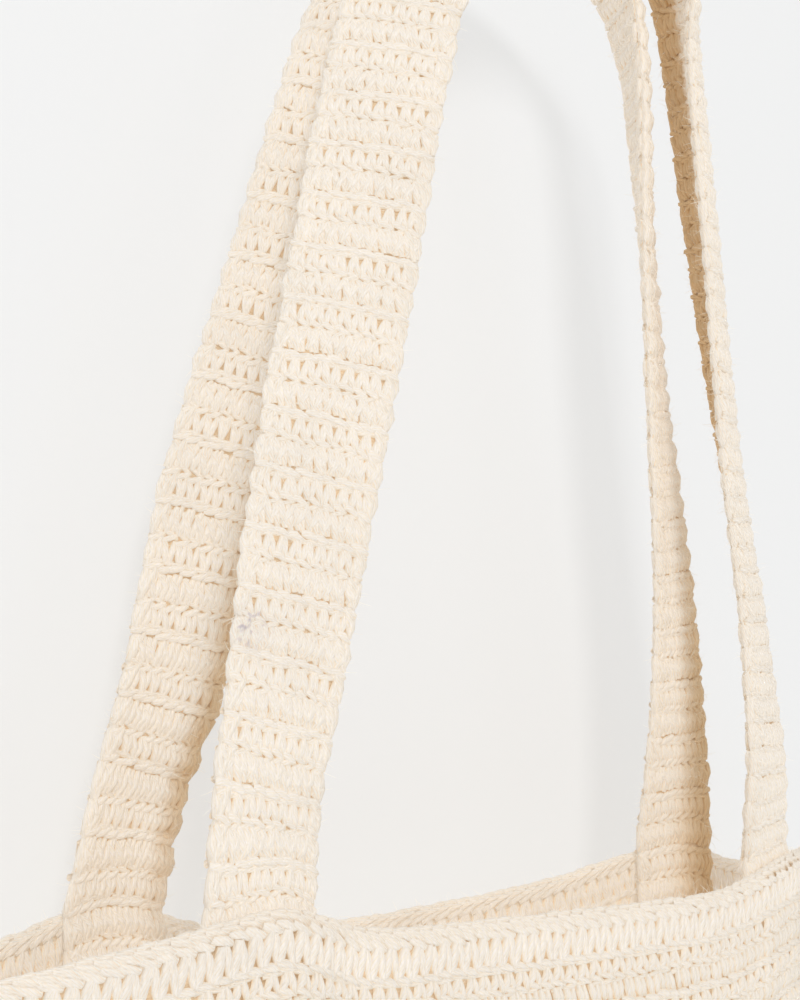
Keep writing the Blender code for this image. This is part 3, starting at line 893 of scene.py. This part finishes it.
def varied(tree, value, pattern, amount):
    """A value with a noise pattern added, which is 0.5 in the middle."""
    return sums(tree, "MULTIPLY_ADD", sums(tree, "SUBTRACT", pattern, 0.5), amount, value)


def mixed(tree, factor, first, second):
    inputs = {"Factor": factor, "A": first, "B": second}
    return add(tree, "ShaderNodeMix", inputs, data_type="RGBA").outputs[2]


def plies(group, fluff):
    """A mask of the threads along the yarn, and the height of its plies, threads and fluff."""
    uv = add(group, "ShaderNodeUVMap", uv_map="yarn").outputs[0]
    along, round_it, _ = parts(group, uv)
    lean = sums(group, "MULTIPLY_ADD", along, PLY_LEAN, round_it)
    x, y = sums(group, "MULTIPLY", along, 0.25), sums(group, "MULTIPLY", lean, 2.4)
    thread = noise(group, joined_values(group, X=x, Y=y), 1.0, 3.0, 0.65)["Fac"]
    ply = sums(group, "SINE", sums(group, "MULTIPLY", lean, 2 * math.pi / PLY_PITCH))
    height = sums(group, "MULTIPLY_ADD", fluff, FLUFF_HEIGHT, thread)
    height = sums(group, "MULTIPLY_ADD", ply, PLY_HEIGHT, height)
    return ranged(group, sums(group, "MULTIPLY_ADD", ply, 0.06, thread), (0.30, 0.56)), height


def stain_mask(group, place):
    """The specks of the small grey stain on the front strap."""
    away = vectors(group, "DISTANCE", place, STAIN_AT).node.outputs["Value"]
    near = ranged(group, away, (STAIN_SIZE, STAIN_SIZE * 0.4))
    specks = ranged(group, noise(group, place, 330.0, 1.0)["Fac"], (0.53, 0.68))
    return sums(group, "MULTIPLY", sums(group, "MULTIPLY_ADD", specks, 0.85, 0.06), near)


def yarn_group():
    """Cotton yarn: cream with plies and fibres, with painted darker, warmer shade in the gaps, between
    threads and on the flanks, darker where painted as shaded, and a painted glow.
    """
    group = bpy.data.node_groups.new("cotton_yarn", "ShaderNodeTree")
    for name in ("Cream", "Crevice", "Shaded"):
        group.interface.new_socket(name, in_out="INPUT", socket_type="NodeSocketColor")
    for name, kind in (("Color", "Color"), ("Glow", "Color"), ("Height", "Float")):
        group.interface.new_socket(name, in_out="OUTPUT", socket_type="NodeSocket" + kind)
    given = add(group, "NodeGroupInput").outputs
    place = add(group, "ShaderNodeTexCoord").outputs["Object"]
    fluff = noise(group, place, 420.0, 3.0, 0.7)["Fac"]
    broad = noise(group, place, 30.0, 2.0)["Fac"]
    depth, shade = (
        add(group, "ShaderNodeAttribute", attribute_name=name).outputs["Fac"] for name in ("depth", "shade")
    )
    threads, height = plies(group, fluff)
    gap_shade = ranged(group, varied(group, depth, fluff, 0.7), GAP_SHADE_DEPTHS, interpolation_type="SMOOTHSTEP")
    flank_shade = ranged(group, varied(group, depth, fluff, 0.6), FLANK_SHADE_DEPTHS)
    color = mixed(group, gap_shade, given["Crevice"], given["Cream"])
    color = scaled(group, color, varied(group, 1.0, broad, 0.10))
    for tint in (
        mixed(group, flank_shade, FLANK_SHADE, WHITE),
        mixed(group, threads, THREAD_GAP_SHADE, WHITE),
        mixed(group, shade, WHITE, given["Shaded"]),
        mixed(group, stain_mask(group, place), WHITE, STAIN),
    ):
        color = vectors(group, "MULTIPLY", color, tint)
    glow = scaled(group, color, sums(group, "MULTIPLY_ADD", shade, -GLOW * GLOW_LOST, GLOW))
    add(group, "NodeGroupOutput", {"Color": color, "Glow": glow, "Height": height})
    return group


def surface(name, values):
    """A material, and its shader with these values. Its own light isn't sampled as a lamp's."""
    material = bpy.data.materials.new(name)
    material.cycles.emission_sampling = "NONE"
    material.use_nodes = True
    shader = material.node_tree.nodes["Principled BSDF"]
    for socket, value in values.items():
        shader.inputs[socket].default_value = value
    return material, shader


def yarn_material(name):
    material, shader = surface(name, YARN_SURFACE)
    tree = material.node_tree
    cotton = add(tree, "ShaderNodeGroup", node_tree=COTTON)
    for socket, value in COLOURS.items():
        cotton.inputs[socket].default_value = value
    cotton = cotton.outputs
    bumps = {"Strength": 0.9, "Distance": 0.0006, "Height": cotton["Height"]}
    tree.links.new(add(tree, "ShaderNodeBump", bumps).outputs["Normal"], shader.inputs["Normal"])
    tree.links.new(cotton["Color"], shader.inputs["Base Color"])
    tree.links.new(cotton["Glow"], shader.inputs["Emission Color"])
    return material


COTTON = yarn_group()
BODY_LOOK = (yarn_material("body_cotton"), "body_yarn")
STRAP_LOOK = (yarn_material("strap_cotton"), "strap_yarn")
EDGING_LOOK = (yarn_material("edging_cotton"), "edging_yarn")
FIBRE_COTTON = surface("loose_cotton_fibre", FIBRE_SURFACE)[0]
STITCHING = stitch_tree()
FUZZING = fuzz_tree()


# The straps

def eased(value, low, high):
    """0 at low, 1 at high and smooth between."""
    t = np.clip((value - low) / (high - low), 0, 1)
    return t * t * (3 - 2 * t)


def zone(fabric, name):
    """How far each point of a strap lies in a zone."""
    strength, side, heights, margins = ZONES[name]
    x, z = fabric.points[..., 0], fabric.points[..., 2]
    margin = (STRAP_WIDTH / 2 - fabric.widths)[None]
    on_leg = eased(x, 0.0, side * ZONE_FROM_MIDDLE)
    return strength * on_leg * eased(z, *heights) * eased(margin, *margins)


def dress_strap(fabric, side, pair):
    """Gives a strap's fabric its painted shade, the swell of its rows and its crumple."""
    turns = 2 * math.pi * fabric.lengths / pair
    fabric.raised += ROW_SWELL[side > 0] * np.sin(turns)[:, None] ** 2
    if side < 0:
        fabric.shaded = zone(fabric, "front_right_inside")
        return
    below_crown = eased(fabric.points[..., 2], *BARE_CROWN)
    fabric.shaded = zone(fabric, "back_left_edge") * below_crown + zone(fabric, "back_right_leg")
    along = fabric.lengths / CRUMPLE_LENGTH
    dents = np.sin(2 * math.pi * along) + np.sin(SLOW_CRUMPLE * along)
    fabric.raised += CRUMPLE / 2 * dents[:, None] * zone(fabric, "crumpled_edge")


def strap_sides(name, fabric, cloth, pairs, side, seed):
    """The stitches on the front and on the back of a strap."""
    pair = fabric.length / pairs
    inner = STRAP_WIDTH - 2 * STRAP_MARGIN
    stitch = inner / STRAP_STITCHES
    kits = (("front", 1, CROSSED_PAIR, 5, 4, pair), ("back", -1, PAIR, 4, 3, pair / 2))
    for number, (face, toward, strands, rings, sides, late) in enumerate(kits):
        mirror = toward * side
        kit = stitch_mesh(f"{name}_{face}_stitch", strands, stitch, pair, rings, sides, mirror=mirror)
        grid = (pairs, STRAP_STITCHES, late if mirror < 0 else 0.0, -inner / 2, pair, stitch)
        more = {"Shading": float(toward < 0 or side > 0), "Swelling": float(toward)}
        title = f"{name}_{face}_stitches"
        place = (grid, toward, seed + number, STRAP_LOOK, name)
        piece = crocheted(title, kit, fabric, cloth, *place, **more)
        yield piece, title.replace("stitches", "fibres"), STRAP_FUZZ


def strap_edges(name, fabric, cloth, pairs, seed):
    """The loops that wrap a strap's two edges."""
    row = fabric.length / pairs / 2
    for number, (edge, inwards) in enumerate((("left", 1), ("right", -1))):
        kit = stitch_mesh(f"{name}_{edge}_loop", EDGE_LOOP, 0.001 * inwards, row, sides=6, spread=180.0)
        grid = (2 * pairs, 1, 0.0, -inwards * (STRAP_WIDTH / 2 - LOOP_INSET), row, row)
        title = f"{name}_{edge}_edge_loops"
        place = (grid, 1, seed + 5 + number, STRAP_LOOK, name)
        piece = crocheted(title, kit, fabric, cloth, *place, Shading=1.0, Swelling=1.0)
        yield piece, title.replace("loops", "fibres"), EDGE_FUZZ


def make_strap(name, left, right, spacing, side, pair, seed):
    """A whole strap. side: -1 in front, 1 at the back. pair: about the height of a pair of rows."""
    fabric = strap_fabric(name, left, right, spacing, side)
    pairs = round(fabric.length / pair)
    dress_strap(fabric, side, fabric.length / pairs)
    cloth = fabric.as_object()
    pieces = list(strap_sides(name, fabric, cloth, pairs, side, seed))
    pieces += strap_edges(name, fabric, cloth, pairs, seed)
    skin(name + "_ground", fabric, STRAP_WIDTH / 2 - SKIN_TRIM, STRAP_LOOK, name)
    for piece, title, density in pieces:
        fuzzed(title, piece, density, seed + 9, (FIBRE_COTTON, "strap_yarn"), name)
    bpy.data.objects.remove(cloth)


# The body

def over_straps(fabric):
    """How far the wall stands out over the front straps' sewn ends."""
    below = fabric.lengths[:, None] - RIM_REACH
    raised = np.zeros(fabric.points.shape[:2])
    for name in ("front_strap_left", "front_strap_right"):
        middle = fabric.widths[list(MOUTH).index(name) * MOUTH_STEPS]
        beside = np.abs(fabric.widths - middle)[None]
        inside = eased(beside, STRAP_WIDTH / 2 + 0.003, STRAP_WIDTH / 2 - 0.003)
        raised += SEWN_SWELL * inside * eased(below, STRAP_OVERLAP + 0.004, STRAP_OVERLAP - 0.002)
    return raised


def make_body():
    fabric = body_fabric()
    count = round(fabric.width / BODY_STITCH)
    stitch = fabric.width / count
    under = RIM_REACH + FIRST_BAND
    pairs = round((fabric.length - under) / BODY_PAIR)
    pair = (fabric.length - under) / pairs
    below = np.clip(fabric.lengths - under, 0, None)
    fabric.raised = over_straps(fabric) + BODY_SWELL * np.sin(math.pi * below / pair)[:, None] ** 2
    cloth = fabric.as_object()
    more = {"Swelling": 1.0}
    top_grid = (1, count, RIM_REACH, 0.0, FIRST_BAND, stitch)
    top = stitch_mesh("top_post", TOP_POSTS, stitch, FIRST_BAND)
    name = "bag_body_first_band"
    pieces = [crocheted(name, top, fabric, cloth, top_grid, 1, 41, BODY_LOOK, "bag_body", **more)]
    half = count // 2
    bands = {
        "upper": (0, UPPER_ROWS, 0, count, 4),
        "lower_front": (UPPER_ROWS, pairs, 0, half, 3),
        "lower_back": (UPPER_ROWS, pairs, half, count, 3),
    }
    for number, (band, (row, end, column_at, last, rings)) in enumerate(bands.items()):
        kit = stitch_mesh("body_stitch", PAIR, stitch, pair, rings=rings, sides=3)
        grid = (end - row, last - column_at, under + row * pair, column_at * stitch, pair, stitch)
        name = f"bag_body_{band}_stitches"
        place = (grid, 1, 50 + number, BODY_LOOK, "bag_body")
        pieces.append(crocheted(name, kit, fabric, cloth, *place, **more))
    top = stitch_mesh("inner_top_post", TOP_POSTS, stitch, FIRST_BAND, sides=3)
    crocheted("bag_body_inner_first_band", top, fabric, cloth, top_grid, -1, 61, BODY_LOOK, "bag_body")
    kit = stitch_mesh("inner_stitch", PLAIN_PAIR, stitch, pair, rings=3, sides=3)
    grid = (INNER_ROWS, count, under, 0.0, pair, stitch)
    crocheted("bag_body_inner_stitches", kit, fabric, cloth, grid, -1, 62, BODY_LOOK, "bag_body")
    skin("bag_body_ground", fabric, 0.0, BODY_LOOK, "bag_body")
    for number, piece in enumerate(pieces):
        look = (FIBRE_COTTON, "body_yarn")
        name = piece.name.replace("stitches", "fibres").replace("band", "band_fibres")
        fuzzed(name, piece, BODY_FUZZ, 70 + number, look, "bag_body")
    bpy.data.objects.remove(cloth)


def make_edging():
    fabric = edging_fabric()
    cloth = fabric.as_object()
    count = round(fabric.width / BODY_STITCH)
    stitch = fabric.width / count
    kit = stitch_mesh("chain_link", CHAIN, stitch, 0.001, sides=6, spread=180.0)
    grid = (1, count, fabric.length / 2, 0.0, 0.01, stitch)
    place = (grid, 1, 81, EDGING_LOOK, "rim_edging")
    piece = crocheted("rim_edging_chain", kit, fabric, cloth, *place, Unevenness=0.6)
    fuzzed("rim_edging_fibres", piece, EDGE_FUZZ, 83, (FIBRE_COTTON, "edging_yarn"), "rim_edging")
    bpy.data.objects.remove(cloth)


make_strap("front_strap", FRONT_LEFT, FRONT_RIGHT, FRONT_SPACING, -1, STRAP_PAIR, 11)
make_strap("back_strap", BACK_LEFT, BACK_RIGHT, BACK_SPACING, 1, BACK_PAIR, 31)
make_body()
make_edging()


# The wall, the floor, the lights and the camera

WALL_AT = 0.100
FLOOR_AT = -1.000
ROOM = 4.0
WALL_PAINT = ((0.450, 0.462, 0.478, 1.0), (0.470, 0.466, 0.456, 1.0))
FLOOR_PAINT = ((0.400, 0.410, 0.420, 1.0), (0.460, 0.455, 0.445, 1.0))
LIGHT_TARGET = (-0.05, 0.0, -0.25)
LIGHT_COLOUR = (1.0, 0.985, 0.97)
SKY_COLOUR = (1.0, 0.995, 0.985, 1.0)
SKY_STRENGTH = 0.66
CAMERA_AT = (-0.3941, -0.4173, -0.3360)
CAMERA_TURN = (90 + 7.22, 0.0, -38.0)


def paint(name, colour, own_light):
    """A matt paint with a little light of its own, as in a larger room, and clear from behind."""
    values = {
        "Base Color": colour,
        "Roughness": 0.79,
        "Specular IOR Level": 0.05,
        "Emission Color": own_light,
        "Emission Strength": 1.0,
    }
    material, shader = surface(name, values)
    tree = material.node_tree
    behind = add(tree, "ShaderNodeNewGeometry").outputs["Backfacing"]
    clear = add(tree, "ShaderNodeBsdfTransparent").outputs[0]
    mix = add(tree, "ShaderNodeMixShader", {0: behind, 1: shader.outputs[0], 2: clear})
    tree.links.new(mix.outputs[0], tree.nodes["Material Output"].inputs["Surface"])
    return material


def plane(name, corners, material):
    mesh = bpy.data.meshes.new(name)
    mesh.from_pydata(corners, [], [(0, 1, 2, 3)])
    mesh.materials.append(material)
    item = bpy.data.objects.new(name, mesh)
    bpy.context.scene.collection.objects.link(item)


def softbox(name, place, size, power):
    """A square lamp that shines on the bag."""
    light = bpy.data.lights.new(name, "AREA")
    light.shape = "RECTANGLE"
    light.size = light.size_y = size
    light.energy = power
    light.color = LIGHT_COLOUR
    item = bpy.data.objects.new(name, light)
    item.location = place
    away = np.array(place) - np.array(LIGHT_TARGET)
    away /= np.linalg.norm(away)
    item.rotation_euler = (math.acos(away[2]), 0.0, math.atan2(away[1], away[0]) + math.pi / 2)
    bpy.context.scene.collection.objects.link(item)


corners = ((-ROOM, -ROOM), (ROOM, -ROOM), (ROOM, ROOM), (-ROOM, ROOM))
wall = [(x, WALL_AT, max(z, FLOOR_AT)) for x, z in corners]
plane("studio_wall", wall, paint("wall_paint", *WALL_PAINT))
plane("studio_floor", [(x, y, FLOOR_AT) for x, y in corners], paint("floor_paint", *FLOOR_PAINT))

world = bpy.data.worlds.new("studio")
world.use_nodes = True
sky = world.node_tree.nodes["Background"].inputs
sky["Color"].default_value = SKY_COLOUR
sky["Strength"].default_value = SKY_STRENGTH
bpy.context.scene.world = world
softbox("key_light", (-0.98, -2.10, 0.60), 0.4, 14.8)
softbox("right_light", (0.45, -2.10, 0.50), 0.5, 1.0)

camera = bpy.data.cameras.new("camera")
camera.sensor_fit = "HORIZONTAL"
camera.sensor_width = 36.0
camera.lens = 67.5
camera.clip_start = 0.01
view = bpy.data.objects.new("camera", camera)
view.location = CAMERA_AT
view.rotation_euler = [math.radians(turn) for turn in CAMERA_TURN]
bpy.context.scene.collection.objects.link(view)
bpy.context.scene.camera = view
bpy.context.scene.view_settings.view_transform = "Standard"
